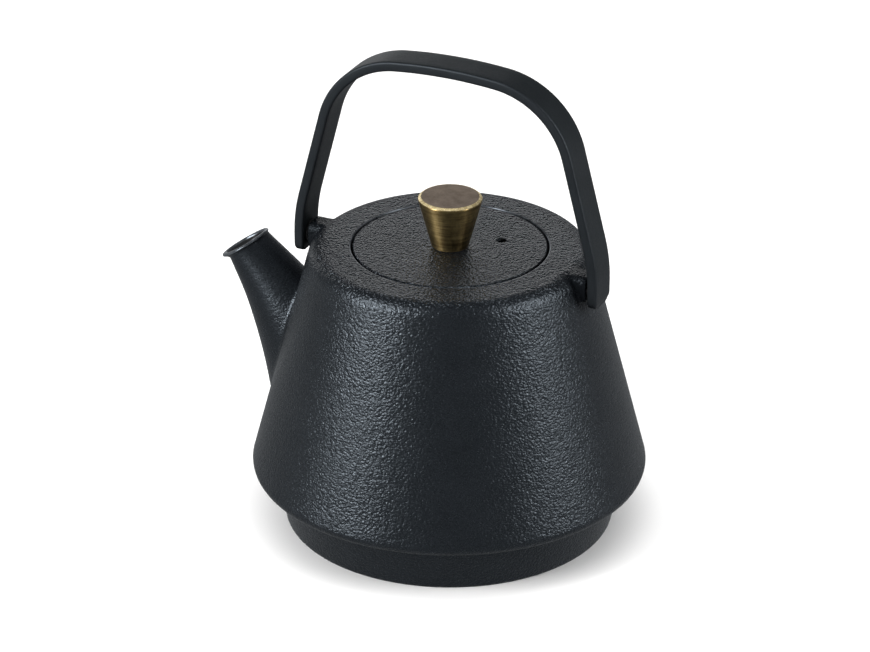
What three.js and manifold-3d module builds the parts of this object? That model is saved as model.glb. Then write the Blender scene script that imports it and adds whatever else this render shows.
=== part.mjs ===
// A cast iron teapot with a strap bail handle, a flush lid with a brass knob and a lift-out infuser.
// Millimetres, +Z up. The origin is the centre of the flat underside; the spout points along -X,
// and the handle arches over the pot in the XZ plane.
import * as THREE from 'three';
import { mergeVertices } from 'three/addons/utils/BufferGeometryUtils.js';
import Module from 'manifold-3d';

// Driving dimensions
const GAP = 0.3;               // left between solids that touch or are cast together
const SLIP = 0.1;              // left between thin pieces that rest on each other
const CUT = 1;                 // how far a cutting solid passes the face it opens

const BELLY_R = 78;            // widest radius of the pot
const BELLY_FILLET = 3.6;      // rounding at the widest point
const BELLY_Z = 23.9;          // height of that rounding's centre
const CONE_TILT = 14.73 * Math.PI / 180;   // how far the side leans in from vertical
const TOP_Z = 115.3;           // flat top of the pot and of the lid
const SHOULDER_FILLET = 7;     // rounding from the side into the flat top
const WALL = 3;                // thickness of the casting
const FOOT_R = 65.2;           // radius where the pot stands
const FOOT_TOP_R = 69.2;       // radius of the foot under the belly
const FOOT_EDGE = 1;           // chamfer round the underside
const SHOULDER_Z = 102;        // where the wall ends and the shoulder starts
const SEAM_Z = 20.3;           // underside of the belly, where it meets the foot
const FLOOR = 4;               // thickness of the floor
const FLOOR_CHAMFER = 3;       // inside, round the floor
const INNER_BELLY_Z = 25.9;    // where the inside of the wall turns in towards the foot
const INNER_STEP = 1.2;        // easing inside, where the belly meets the foot
const CEILING_CHAMFER_R = 4;   // inside, between the wall and the ceiling
const CEILING_CHAMFER_Z = 5;

const LID_R = 37.6;
const LID_CLEARANCE = 0.9;     // the groove round the lid
const LID_THICK = 3.3;
const LID_EDGE = 0.6;
const SEAT_R = LID_R + LID_CLEARANCE;
const SEAT_COLLAR_TAPER = 1;   // the collar round the seat widens towards the ceiling
const SKIRT_R = 31.4;          // locating ring under the lid
const SKIRT_THICK = 2;
const SKIRT_Z = 106.4;
const REBATE_Z = 110.8;        // ledge that carries the infuser and the lid
const MOUTH_R = 34.6;          // clear opening inside the ledge
const STEAM_HOLE_R = 2;
const STEAM_HOLE_FROM_AXIS = 20.4;
const STEAM_HOLE_ANGLE = 37 * Math.PI / 180;

const KNOB_TOP_R = 12.5;
const KNOB_FOOT_R = 7.2;
const KNOB_TOP_Z = 135.9;
const KNOB_EDGE = 0.8;
const SCREW_R = 2.4;
const SCREW_HOLE_R = SCREW_R + GAP;
const SCREW_HEAD_R = 4.6;
const SCREW_HEAD_THICK = 2.3;
const SCREW_HEAD_EDGE = 0.8;
const SCREW_TOP_Z = 124;
const WASHER_R = 6.4;
const WASHER_THICK = 0.8;

const STRAP_WIDTH = 14.2;
const STRAP_THICK = 4;
const STRAP_EDGE = 0.9;        // rounding along the strap's edges
const STRAP_HALF_SPAN = 64.3;  // outer face at the feet
const STRAP_FOOT_Z = 102.9;
const BEND_Z = 111;            // where the legs start to lean in
const BEND_R = 67;
const CORNER_Z = 163;          // where the legs turn into the top corners
const CORNER_R = 36.8;
const CROWN_TILT = 6 * Math.PI / 180;      // slope of the top bar at its ends
const PIVOT_Z = 109.4;
const LUG_R = 5.4;
const LUG_END_X = 59.1;
const LUG_DEPTH = 12;          // from its end face to well inside the shoulder
const STUD_R = 2.5;
const STUD_HOLE_R = 2.65;
const STUD_IN_X = 54.6;
const SPACER_R = 4.8;

const INFUSER_R = 32.4;        // outer radius of the strainer wall
const INFUSER_SHEET = 0.6;
const INFUSER_FLOOR_Z = 52.6;
const FLANGE_R = 37.2;
const FLANGE_THICK = 0.8;
const BAND_R = INFUSER_R + 0.2;            // inner radius of the solid bands round the strainer
const BAND_DEPTH = 7.6;        // height of those bands
const BAND_OVERLAP = 2;        // how far the strainer wall reaches up inside the upper band
const RING_LIP = 4;            // the lower band turns in under the strainer's floor

const ROUND = 48;              // facets round the pot
const INFUSER_ROUND = 36;      // facets round the infuser and the knob
const ROD_ROUND = 20;          // facets round pins, screws and bosses
const BELLY_STEPS = 4;         // facets over the rounding of the belly
const SHOULDER_STEPS = 5;      // and over the shoulder's
const ARCH_STEPS = 5;          // half the facets over each arc of the handle's arch

const wasm = await Module();
wasm.setup();

// A closed geometry as a solid, for booleans
function solid(geometry) {
  const bare = geometry.clone();
  bare.deleteAttribute('normal');
  bare.deleteAttribute('uv');
  const merged = mergeVertices(bare, 1e-4);
  const corners = [];
  for (let i = 0; i < merged.index.count; i += 3) {
    const [a, b, c] = [0, 1, 2].map((k) => merged.index.getX(i + k));
    if (a !== b && b !== c && c !== a) corners.push(a, b, c);
  }
  return new wasm.Manifold(new wasm.Mesh({
    numProp: 3,
    vertProperties: new Float32Array(merged.attributes.position.array),
    triVerts: new Uint32Array(corners),
  }));
}

// A solid back as a geometry
function skin(manifold) {
  const mesh = manifold.getMesh();
  const geometry = new THREE.BufferGeometry();
  geometry.setAttribute('position', new THREE.BufferAttribute(mesh.vertProperties, 3));
  geometry.setIndex(new THREE.BufferAttribute(mesh.triVerts, 1));
  geometry.computeVertexNormals();
  return geometry;
}

// A profile of [radius, height] points turned about Z, going up on its outside
function turned(profile, facets = ROUND) {
  const points = profile.map(([r, z]) => new THREE.Vector2(r, z));
  return new THREE.LatheGeometry(points, facets).rotateX(Math.PI / 2);
}

// A profile that closes on itself, for rings
function ring(profile, facets = ROUND) {
  return turned([...profile, profile[0]], facets);
}

// A flat-ended cylinder along X
function rod(radius, x0, x1, z) {
  return new THREE.CylinderGeometry(radius, radius, Math.abs(x1 - x0), ROD_ROUND)
    .rotateZ(Math.PI / 2)
    .translate((x0 + x1) / 2, 0, z);
}

// Points on an arc in the radius-height plane, between two angles in radians
function arc(centreR, centreZ, radius, from, to, steps) {
  return Array.from({ length: steps + 1 }, (_, i) => {
    const angle = from + (to - from) * i / steps;
    return [centreR + radius * Math.cos(angle), centreZ + radius * Math.sin(angle)];
  });
}

// Radius of the sloping side, at a distance inside its outer face
function coneR(z, inset = 0) {
  const startR = BELLY_R - BELLY_FILLET + BELLY_FILLET * Math.cos(CONE_TILT);
  const startZ = BELLY_Z + BELLY_FILLET * Math.sin(CONE_TILT);
  return startR - (z - startZ) * Math.tan(CONE_TILT) - inset / Math.cos(CONE_TILT);
}

// The outer outline of the pot from the belly's underside to the shoulder, moved out by an offset
function outline(offset = 0) {
  const shoulderZ = TOP_Z - SHOULDER_FILLET;
  const shoulderR = coneR(shoulderZ, SHOULDER_FILLET);
  const bellyR = BELLY_R - BELLY_FILLET;
  return [
    ...arc(bellyR, BELLY_Z, BELLY_FILLET + offset, -Math.PI / 2, CONE_TILT, BELLY_STEPS),
    ...arc(shoulderR, shoulderZ, SHOULDER_FILLET + offset, CONE_TILT, Math.PI / 2, SHOULDER_STEPS),
  ];
}

// Casting: the sloping wall, from the belly's underside up to the shoulder
function bodyGeometry() {
  return ring([
    [FOOT_TOP_R - WALL, SEAM_Z],
    ...outline().slice(0, BELLY_STEPS + 1),
    [coneR(SHOULDER_Z), SHOULDER_Z],
    [coneR(SHOULDER_Z, WALL), SHOULDER_Z],
    [coneR(INNER_BELLY_Z, WALL), INNER_BELLY_Z],
    [FOOT_TOP_R, SEAM_Z + WALL],
    [FOOT_TOP_R - WALL, SEAM_Z + WALL - INNER_STEP],
  ]);
}

// Casting: the rounded shoulder, the flat top and the lid seat
function shoulderGeometry() {
  const start = SHOULDER_Z + GAP;
  const ceiling = TOP_Z - WALL;
  const chamferZ = ceiling - CEILING_CHAMFER_Z;
  const seatUnder = REBATE_Z - WALL;
  const collarR = SEAT_R + WALL;
  return ring([
    [coneR(start), start],
    ...outline().slice(BELLY_STEPS + 1),
    [SEAT_R, TOP_Z],
    [SEAT_R, REBATE_Z],
    [MOUTH_R, REBATE_Z],
    [MOUTH_R, seatUnder],
    [collarR, seatUnder],
    [collarR + SEAT_COLLAR_TAPER, ceiling],
    [coneR(ceiling, WALL) - CEILING_CHAMFER_R, ceiling],
    [coneR(chamferZ, WALL), chamferZ],
    [coneR(start, WALL), start],
  ]);
}

// Casting: the foot and the floor
function baseGeometry() {
  const top = SEAM_Z - GAP;
  return turned([
    [0, 0],
    [FOOT_R - FOOT_EDGE, 0],
    [FOOT_R, FOOT_EDGE],
    [FOOT_TOP_R, top],
    [FOOT_TOP_R - WALL, top],
    [FOOT_R - WALL, FLOOR + FLOOR_CHAMFER],
    [FOOT_R - WALL - FLOOR_CHAMFER, FLOOR],
    [0, FLOOR],
  ]);
}

// The spout's upper and lower lines in the XZ plane and its half width, from the lip down to the root
const SPOUT_TOP = [[-81.7, 104.2], [-78.0, 101.5], [-66.5, 92.2], [-52.5, 80.6], [-40, 70], [-26, 58]];
const SPOUT_UNDER = [[-99.1, 92.0], [-93.2, 87.6], [-87.2, 75.4], [-81.4, 57.4], [-78.2, 42], [-75.2, 25]];
const SPOUT_HALF_WIDTH = [10, 10, 12.2, 15, 16.5, 18];
const SPOUT_WALL = 2.4;
const SPOUT_LENGTH = 60;       // what a step of 1 past the end of those lines stands for
const SPOUT_OVERRUN = 0.1;     // how far the bore runs past both ends

function throughPoints(points) {
  return new THREE.CatmullRomCurve3(points.map(([x, z]) => new THREE.Vector3(x, 0, z)));
}

// A cylinder bent to follow the spout, each ring an ellipse between the upper and lower lines
function spoutGeometry(inset, first, last, facets = 24, rings = 10) {
  const top = throughPoints(SPOUT_TOP);
  const under = throughPoints(SPOUT_UNDER);
  const width = throughPoints(SPOUT_HALF_WIDTH.map((half) => [half, 0]));
  const geometry = new THREE.CylinderGeometry(1, 1, 1, facets, rings);
  const place = geometry.attributes.position;
  for (let i = 0; i < place.count; i += 1) {
    const t = THREE.MathUtils.lerp(first, last, 0.5 - place.getY(i));
    const onLine = THREE.MathUtils.clamp(t, 0, 1);
    const past = (t - onLine) * SPOUT_LENGTH;
    const high = top.getPoint(onLine);
    const low = under.getPoint(onLine);
    const middle = high.clone().add(low).multiplyScalar(0.5);
    const along = new THREE.Vector3(high.z - low.z, 0, low.x - high.x).normalize();
    const reach = high.distanceTo(low) / 2 - inset;
    const half = width.getPoint(onLine).x - inset;
    const up = high.clone().sub(low).normalize();
    const point = middle.addScaledVector(up, reach * place.getX(i)).addScaledVector(along, past);
    place.setXYZ(i, point.x, -half * place.getZ(i), point.z);
  }
  return geometry;
}

const boreSolid = solid(spoutGeometry(SPOUT_WALL, -SPOUT_OVERRUN, 1 + SPOUT_OVERRUN));

// The blind hole for one of the handle's studs, through the boss and part of the way into the wall
function studHole(side) {
  return solid(rod(STUD_HOLE_R, side * (STUD_IN_X - GAP), side * (LUG_END_X + CUT), PIVOT_Z));
}

function bodyWithBore() {
  return skin(solid(bodyGeometry()).subtract(boreSolid));
}

function shoulderWithHoles() {
  return skin(solid(shoulderGeometry()).subtract(studHole(-1)).subtract(studHole(1)));
}

// The whole pot without its hollow, a gap larger all over, to cut the spout and the bosses to
function pot() {
  const profile = outline(GAP);
  return solid(turned([[0, profile[0][1]], ...profile, [0, TOP_Z + GAP]]));
}

// Casting: the spout, cut to the outside of the wall
function spoutOutside() {
  return skin(solid(spoutGeometry(0, 0, 1)).subtract(pot()).subtract(boreSolid));
}

// Casting: a round boss on the shoulder with a blind hole for the handle's stud
function lugGeometry(side) {
  const boss = rod(LUG_R, side * (LUG_END_X - LUG_DEPTH), side * LUG_END_X, PIVOT_Z);
  return skin(solid(boss).subtract(pot()).subtract(studHole(side)));
}

// The arch's outer line from the right foot to the top, as a path offset inwards
function archPath(offset) {
  const path = new THREE.Path();
  const span = STRAP_HALF_SPAN - offset;
  const bendCentre = [STRAP_HALF_SPAN - BEND_R, BEND_Z];
  const legTop = [
    bendCentre[0] + BEND_R * Math.cos(CONE_TILT),
    bendCentre[1] + BEND_R * Math.sin(CONE_TILT),
  ];
  const run = (CORNER_Z - legTop[1]) / Math.cos(CONE_TILT);
  const cornerStart = [legTop[0] - run * Math.sin(CONE_TILT), CORNER_Z];
  const cornerCentre = [
    cornerStart[0] - CORNER_R * Math.cos(CONE_TILT),
    cornerStart[1] - CORNER_R * Math.sin(CONE_TILT),
  ];
  const crownStart = [
    cornerCentre[0] + CORNER_R * Math.sin(CROWN_TILT),
    cornerCentre[1] + CORNER_R * Math.cos(CROWN_TILT),
  ];
  const crownR = crownStart[0] / Math.sin(CROWN_TILT);
  const crownZ = crownStart[1] - crownR * Math.cos(CROWN_TILT);
  const upright = Math.PI / 2;
  path.moveTo(span, STRAP_FOOT_Z);
  path.lineTo(span, BEND_Z);
  path.absarc(...bendCentre, BEND_R - offset, 0, CONE_TILT, false);
  path.absarc(...cornerCentre, CORNER_R - offset, CONE_TILT, upright - CROWN_TILT, false);
  path.absarc(0, crownZ, crownR - offset, upright - CROWN_TILT, upright + CROWN_TILT, false);
  path.absarc(-cornerCentre[0], cornerCentre[1], CORNER_R - offset,
    upright + CROWN_TILT, Math.PI - CONE_TILT, false);
  path.absarc(-bendCentre[0], bendCentre[1], BEND_R - offset, Math.PI - CONE_TILT, Math.PI, false);
  path.lineTo(-span, STRAP_FOOT_Z);
  return path;
}

// The strap: the space between two arches, with its edges eased
function handleGeometry() {
  const outer = archPath(0).getPoints(ARCH_STEPS);
  const inner = archPath(STRAP_THICK).getPoints(ARCH_STEPS).reverse();
  const shape = new THREE.Shape([...outer, ...inner]);
  return new THREE.ExtrudeGeometry(shape, {
    depth: STRAP_WIDTH - 2 * STRAP_EDGE,
    bevelThickness: STRAP_EDGE,
    bevelSize: STRAP_EDGE,
    bevelOffset: -STRAP_EDGE,
    bevelSegments: 1,
  }).rotateX(Math.PI / 2).translate(0, STRAP_WIDTH / 2 - STRAP_EDGE, 0);
}

function studGeometry(side) {
  const inner = STRAP_HALF_SPAN - STRAP_THICK;
  return rod(STUD_R, side * STUD_IN_X, side * (inner - SLIP), PIVOT_Z);
}

function spacerGeometry(side) {
  const inner = STRAP_HALF_SPAN - STRAP_THICK;
  const disc = rod(SPACER_R, side * (LUG_END_X + GAP), side * (inner - SLIP), PIVOT_Z);
  const hole = rod(STUD_HOLE_R, side * LUG_END_X, side * (inner + CUT), PIVOT_Z);
  return skin(solid(disc).subtract(solid(hole)));
}

// The lid: a flat disc with a locating skirt, a screw hole and a steam hole
function lidGeometry() {
  const under = TOP_Z - LID_THICK;
  const disc = turned([
    [0, under],
    [SKIRT_R - SKIRT_THICK, under],
    [SKIRT_R - SKIRT_THICK, SKIRT_Z],
    [SKIRT_R, SKIRT_Z],
    [SKIRT_R, under],
    [LID_R, under],
    [LID_R, TOP_Z - LID_EDGE],
    [LID_R - LID_EDGE, TOP_Z],
    [0, TOP_Z],
  ]);
  const drill = 2 * (LID_THICK + CUT);
  const bore = new THREE.CylinderGeometry(SCREW_HOLE_R, SCREW_HOLE_R, drill, ROD_ROUND);
  const steam = new THREE.CylinderGeometry(STEAM_HOLE_R, STEAM_HOLE_R, drill, ROD_ROUND);
  const steamX = STEAM_HOLE_FROM_AXIS * Math.cos(STEAM_HOLE_ANGLE);
  const steamY = STEAM_HOLE_FROM_AXIS * Math.sin(STEAM_HOLE_ANGLE);
  bore.rotateX(Math.PI / 2).translate(0, 0, TOP_Z);
  steam.rotateX(Math.PI / 2).translate(steamX, steamY, TOP_Z);
  return skin(solid(disc).subtract(solid(bore)).subtract(solid(steam)));
}

// The knob: a turned inverted cone with a blind hole for its screw
function knobGeometry() {
  const foot = TOP_Z + SLIP;
  const boreTop = SCREW_TOP_Z + GAP;
  return turned([
    [0, boreTop],
    [SCREW_R + SLIP, boreTop],
    [SCREW_R + SLIP, foot],
    [KNOB_FOOT_R, foot],
    [KNOB_TOP_R, KNOB_TOP_Z - KNOB_EDGE],
    [KNOB_TOP_R - KNOB_EDGE, KNOB_TOP_Z],
    [0, KNOB_TOP_Z],
  ], INFUSER_ROUND);
}

const washerTop = TOP_Z - LID_THICK - SLIP;
const headTop = washerTop - WASHER_THICK - SLIP;
const headUnder = headTop - SCREW_HEAD_THICK;

// The knob's screw, with its head under the lid
function screwGeometry() {
  return turned([
    [0, headUnder],
    [SCREW_HEAD_R - SCREW_HEAD_EDGE, headUnder],
    [SCREW_HEAD_R, headUnder + SCREW_HEAD_EDGE],
    [SCREW_HEAD_R, headTop],
    [SCREW_R, headTop],
    [SCREW_R, SCREW_TOP_Z],
    [0, SCREW_TOP_Z],
  ], ROD_ROUND);
}

function washerGeometry() {
  return ring([
    [SCREW_HOLE_R, washerTop - WASHER_THICK],
    [WASHER_R, washerTop - WASHER_THICK],
    [WASHER_R, washerTop],
    [SCREW_HOLE_R, washerTop],
  ], ROD_ROUND);
}

// Infuser: the flange that sits on the ledge, with its neck band
function infuserRimGeometry() {
  const under = REBATE_Z + SLIP;
  const top = under + FLANGE_THICK;
  return ring([
    [BAND_R, top - BAND_DEPTH],
    [BAND_R + INFUSER_SHEET, top - BAND_DEPTH],
    [BAND_R + INFUSER_SHEET, under],
    [FLANGE_R, under],
    [FLANGE_R, top],
    [BAND_R, top],
  ], INFUSER_ROUND);
}

// Infuser: the strainer's wall
function infuserWallGeometry() {
  const top = REBATE_Z - BAND_DEPTH + BAND_OVERLAP;
  return ring([
    [INFUSER_R - INFUSER_SHEET, INFUSER_FLOOR_Z],
    [INFUSER_R, INFUSER_FLOOR_Z],
    [INFUSER_R, top],
    [INFUSER_R - INFUSER_SHEET, top],
  ], INFUSER_ROUND);
}

// Infuser: the strainer's floor, inside the foot of its wall
function infuserFloorGeometry() {
  const floorR = INFUSER_R - INFUSER_SHEET - GAP;
  return turned([
    [0, INFUSER_FLOOR_Z],
    [floorR, INFUSER_FLOOR_Z],
    [floorR, INFUSER_FLOOR_Z + INFUSER_SHEET],
    [0, INFUSER_FLOOR_Z + INFUSER_SHEET],
  ], INFUSER_ROUND);
}

// Infuser: the lower band, which also holds up the floor's edge
function infuserRingGeometry() {
  const under = INFUSER_FLOOR_Z - SLIP;
  return ring([
    [BAND_R - RING_LIP, under - INFUSER_SHEET],
    [BAND_R + INFUSER_SHEET, under - INFUSER_SHEET],
    [BAND_R + INFUSER_SHEET, under + BAND_DEPTH],
    [BAND_R, under + BAND_DEPTH],
    [BAND_R, under],
    [BAND_R - RING_LIP, under],
  ], INFUSER_ROUND);
}

// Materials
const finish = (color, roughness, metalness) => (
  new THREE.MeshStandardMaterial({ color, roughness, metalness })
);
const castIron = finish(0x2b2f33, 0.55, 0.3);
const strapSteel = finish(0x303437, 0.4, 0.4);
const brass = finish(0x8a7040, 0.35, 1);
const steel = finish(0xb9bcbe, 0.3, 1);
const nylon = finish(0x141414, 0.6, 0);

const part = new THREE.Group();

function add(name, geometry, material) {
  const mesh = new THREE.Mesh(geometry, material);
  mesh.name = name;
  part.add(mesh);
}

add('body', bodyWithBore(), castIron);
add('shoulder', shoulderWithHoles(), castIron);
add('base', baseGeometry(), castIron);
add('spout', spoutOutside(), castIron);
add('lid', lidGeometry(), castIron);
add('knob', knobGeometry(), brass);
add('knob_screw', screwGeometry(), steel);
add('knob_washer', washerGeometry(), steel);
add('handle', handleGeometry(), strapSteel);
for (const [side, place] of [[-1, 'front'], [1, 'rear']]) {
  add(`lug_${place}`, lugGeometry(side), castIron);
  add(`handle_stud_${place}`, studGeometry(side), steel);
  add(`handle_spacer_${place}`, spacerGeometry(side), nylon);
}
add('infuser_rim', infuserRimGeometry(), steel);
add('infuser_wall', infuserWallGeometry(), steel);
add('infuser_floor', infuserFloorGeometry(), steel);
add('infuser_ring', infuserRingGeometry(), steel);

export default part;
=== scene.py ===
import math

import bmesh
import bpy
import numpy as np
from mathutils import Matrix, Vector


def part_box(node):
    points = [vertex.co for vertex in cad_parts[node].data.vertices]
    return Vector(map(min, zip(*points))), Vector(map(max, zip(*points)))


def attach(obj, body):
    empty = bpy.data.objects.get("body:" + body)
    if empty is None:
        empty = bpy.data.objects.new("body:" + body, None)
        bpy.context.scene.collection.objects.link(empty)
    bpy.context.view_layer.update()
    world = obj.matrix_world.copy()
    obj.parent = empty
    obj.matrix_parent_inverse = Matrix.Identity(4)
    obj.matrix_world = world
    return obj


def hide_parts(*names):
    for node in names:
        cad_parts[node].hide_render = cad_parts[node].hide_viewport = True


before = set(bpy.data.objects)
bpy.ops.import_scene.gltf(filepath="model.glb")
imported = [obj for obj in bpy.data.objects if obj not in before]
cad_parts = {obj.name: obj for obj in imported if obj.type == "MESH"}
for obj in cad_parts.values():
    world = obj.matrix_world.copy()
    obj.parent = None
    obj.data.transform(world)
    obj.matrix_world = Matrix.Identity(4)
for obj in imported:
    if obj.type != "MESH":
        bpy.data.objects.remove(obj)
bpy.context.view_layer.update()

# A cast iron teapot: cone-shaped pot with a strap bail handle, a flush lid with a brass knob
# and a steel infuser. Shapes are worked out in millimetres and stored in metres.
MM = 0.001


def box_mm(node):
    low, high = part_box(node)
    return low / MM, high / MM


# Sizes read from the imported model
_, BASE_HIGH = box_mm("base")
BODY_LOW, BODY_HIGH = box_mm("body")
_, SHOULDER_HIGH = box_mm("shoulder")
LID_LOW, LID_HIGH = box_mm("lid")
KNOB_LOW, KNOB_HIGH = box_mm("knob")
STRAP_LOW, STRAP_HIGH = box_mm("handle")
LUG_LOW, LUG_HIGH = box_mm("lug_rear")
_, RIM_HIGH = box_mm("infuser_rim")

# The casting
COLUMNS = 240
BELLY_R = BODY_HIGH.x
BELLY_FILLET = 3.6
TILT = math.radians(14.73)
TOP_Z = SHOULDER_HIGH.z
SHOULDER_FILLET = 7.0
WALL = 3.0
FOOT_TOP_R = BASE_HIGH.x
FOOT_R = FOOT_TOP_R - 4.0
FOOT_EDGE = 1.0
UNDER_BELLY_Z = BODY_LOW.z
BELLY_Z = UNDER_BELLY_Z + BELLY_FILLET
FLOOR_Z = 4.0
LID_R = LID_HIGH.x
SEAT_R = LID_R + 0.9
LEDGE_Z = RIM_HIGH.z - 0.9
MOUTH_R = 34.6
LEDGE_THICK = 3.0

# The spout's upper and lower lines in the XZ plane and its half width, from mouth to root
SPOUT_TOP = [(-81.4, 103.6), (-78.0, 101.0), (-66.3, 92.0), (-52.5, 80.4), (-40, 70), (-26, 58)]
SPOUT_UNDER = [(-95.6, 94.2), (-92.6, 87.6), (-87.2, 75.4), (-81.4, 57.4), (-78.2, 42), (-75.2, 25)]
SPOUT_HALF_WIDTH = [9.9, 10.3, 12.2, 15, 16.5, 18]
LIP_WALL = 1.6
SPOUT_WALL = 2.4
LIP_FLARE = 2.6
LIP_BEAD = 0.6
LIP_LENGTH = 2.4
SPOUT_FILLET = 3.2
SPOUT_FILLET_BELOW = 1.2                  # added to it on the spout's under side
BORE_FILLET = 1.5
SPOUT_COLUMNS = 19                        # half the grid columns that the spout's root takes

# The handle's lugs
PIVOT_Z = (LUG_LOW.z + LUG_HIGH.z) / 2
LUG_R = (LUG_HIGH.z - LUG_LOW.z) / 2
LUG_END = LUG_HIGH.x
LUG_EDGE = 0.6
LUG_FILLET = 1.3
LUG_COLUMNS = 6                           # half the grid columns that a lug's root takes
LUG_PATCH_R = 45.5                        # how far over the flat top its root reaches
STUD_HOLE_R = 2.65
STUD_HOLE_END = 54.3

# Which material of the casting a face has
# The third group, on the seat's edge and the spout's lip, gets smooth enamel lightened as a painted
# highlight.
IRON, ENAMEL, PAINTED_HIGHLIGHT = 0, 1, 2


# Outlines, as arrays of (radius, height)

def line(start, end, step):
    start, end = np.array(start, float), np.array(end, float)
    count = max(1, round(float(np.hypot(*(end - start))) / step))
    return start + (end - start) * np.linspace(0, 1, count + 1)[:, None]


def bend(centre, radius, start, end, steps):
    """An arc between two angles in degrees."""
    angle = np.radians(np.linspace(start, end, steps + 1))
    return np.array(centre, float) + radius * np.c_[np.cos(angle), np.sin(angle)]


def soft_corner(start, corner, end, steps):
    """A curve that leaves start and reaches end in line with the corner between them."""
    q = np.linspace(0, 1, steps + 1)[:, None]
    start, corner, end = (np.array(p, float) for p in (start, corner, end))
    return (1 - q) ** 2 * start + 2 * q * (1 - q) * corner + q ** 2 * end


def chain(*parts):
    """Joins outlines end to end, leaving out repeated points."""
    points = np.concatenate(parts)
    steps = np.hypot(*np.diff(points, axis=0).T)
    return points[np.r_[True, steps > 1e-6]]


def nearest_row(profile, radius, height):
    return int(np.hypot(profile[:, 0] - radius, profile[:, 1] - height).argmin())


def smooth_curve(points):
    """A natural cubic spline through points or numbers, as a function of 0 to 1."""
    points = np.array(points, float)
    n = len(points)
    system = np.eye(n)
    target = np.zeros_like(points)
    for k in range(1, n - 1):
        system[k, k - 1:k + 2] = (1, 4, 1)
        target[k] = 6 * (points[k + 1] - 2 * points[k] + points[k - 1])
    bending = np.linalg.solve(system, target)

    def at(t):
        u = np.clip(np.asarray(t, float), 0, 1) * (n - 1)
        k = np.minimum(u.astype(int), n - 2)
        b = (u - k).reshape(u.shape + (1,) * (points.ndim - 1))
        a = 1 - b
        curve = a * points[k] + b * points[k + 1]
        return curve + ((a ** 3 - a) * bending[k] + (b ** 3 - b) * bending[k + 1]) / 6

    return at


# Mesh building

class Shell:
    """Points and faces of one mesh, in millimetres."""

    def __init__(self):
        self.blocks = []
        self.size = 0
        self.faces = []
        self.groups = []

    def add(self, points):
        points = np.asarray(points, float).reshape(-1, 3)
        self.blocks.append(points)
        self.size += len(points)
        return np.arange(self.size - len(points), self.size)

    def face(self, corners, group=0):
        self.faces.append([int(c) for c in corners])
        self.groups.append(group)

    def band(self, a, b, group=0, skip=()):
        """Quads between two closed rings of the same length, but for the columns in skip."""
        for j in range(len(a)):
            if j not in skip:
                k = (j + 1) % len(a)
                self.face((a[j], a[k], b[k], b[j]), group)

    def cap(self, ring, point, group=0):
        centre = self.add([point])[0]
        for j in range(len(ring)):
            self.face((ring[j], ring[(j + 1) % len(ring)], centre), group)

    def object(self, name, body, materials, slot, *nodes):
        """Makes the mesh, which rides on a body and takes the place of CAD nodes."""
        points = np.concatenate(self.blocks) * MM
        used = np.zeros(len(points), bool)
        for face in self.faces:
            used[face] = True
        renumber = np.cumsum(used) - 1
        faces = [[int(renumber[c]) for c in face] for face in self.faces]
        mesh = bpy.data.meshes.new(name)
        mesh.from_pydata(points[used].tolist(), [], faces)
        for material in materials:
            mesh.materials.append(material)
        mesh.polygons.foreach_set("material_index", self.groups)
        mesh.polygons.foreach_set("use_smooth", [True] * len(faces))
        piece = bpy.data.objects.new(name, mesh)
        bpy.context.scene.collection.objects.link(piece)
        face_outwards(piece)
        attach(piece, body)
        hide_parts(*nodes)


def face_outwards(piece):
    work = bmesh.new()
    work.from_mesh(piece.data)
    bmesh.ops.recalc_face_normals(work, faces=work.faces)
    if work.calc_volume(signed=True) < 0:
        bmesh.ops.reverse_faces(work, faces=work.faces)
    work.to_mesh(piece.data)
    work.free()


def ring_points(radius, height, columns=COLUMNS):
    angle = np.arange(columns) * 2 * math.pi / columns
    return np.c_[radius * np.cos(angle), radius * np.sin(angle), np.full(columns, height)]


class Hole:
    """A rectangle left out of a turned grid, from row to row and from column to column."""

    def __init__(self, rows, columns):
        self.rows, self.columns = rows, columns

    def skipped(self, row, total):
        if self.rows[0] <= row < self.rows[1]:
            return {j % total for j in range(self.columns[0], self.columns[1])}
        return set()

    def loop(self):
        """The (row, column) steps once round the rectangle's edge."""
        (low, high), (left, right) = self.rows, self.columns
        bottom = [(low, j) for j in range(left, right)]
        side = [(i, right) for i in range(low, high)]
        top = [(high, j) for j in range(right, left, -1)]
        back = [(i, left) for i in range(high, low, -1)]
        return bottom + side + top + back


def turned_grid(shell, profile, holes=(), group=lambda row: 0, closed=False, columns=COLUMNS):
    """Turns a profile about Z, leaving out the holes. Returns the grid of point numbers."""
    rings = [shell.add(ring_points(r, z, columns)) for r, z in profile]
    if closed:
        rings.append(rings[0])
    for i in range(len(rings) - 1):
        skip = set()
        for hole in holes:
            skip |= hole.skipped(i, columns)
        shell.band(rings[i], rings[i + 1], group(i), skip)
    return np.array(rings)


def hole_edge(grid, hole):
    return np.array([grid[i, j % grid.shape[1]] for i, j in hole.loop()])


def join_rings(shell, first, rings, last, group=lambda step: 0):
    """Bands from a ring of existing points, through new rings, to another existing ring."""
    before = first
    for step, points in enumerate(rings):
        ring = shell.add(points)
        shell.band(before, ring, group(step))
        before = ring
    if last is not None:
        shell.band(before, last, group(len(rings)))
    return before


class Skin:
    """One side of a turned wall as a surface, by angle and by length along its profile."""

    def __init__(self, profile, rows):
        self.profile = profile
        self.length = np.r_[0, np.cumsum(np.hypot(*np.diff(profile, axis=0).T))]
        part = slice(rows[0], rows[1] + 1)
        order = np.argsort(profile[part, 1])
        self.heights = profile[part, 1][order]
        self.radii = profile[part, 0][order]
        self.lengths = self.length[part][order]

    def radius(self, z):
        return np.interp(z, self.heights, self.radii)

    def place(self, z):
        return np.interp(z, self.heights, self.lengths)

    def at(self, angle, s):
        r = np.interp(s, self.length, self.profile[:, 0])
        z = np.interp(s, self.length, self.profile[:, 1])
        return np.stack([r * np.cos(angle), r * np.sin(angle), z], axis=-1)


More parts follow.
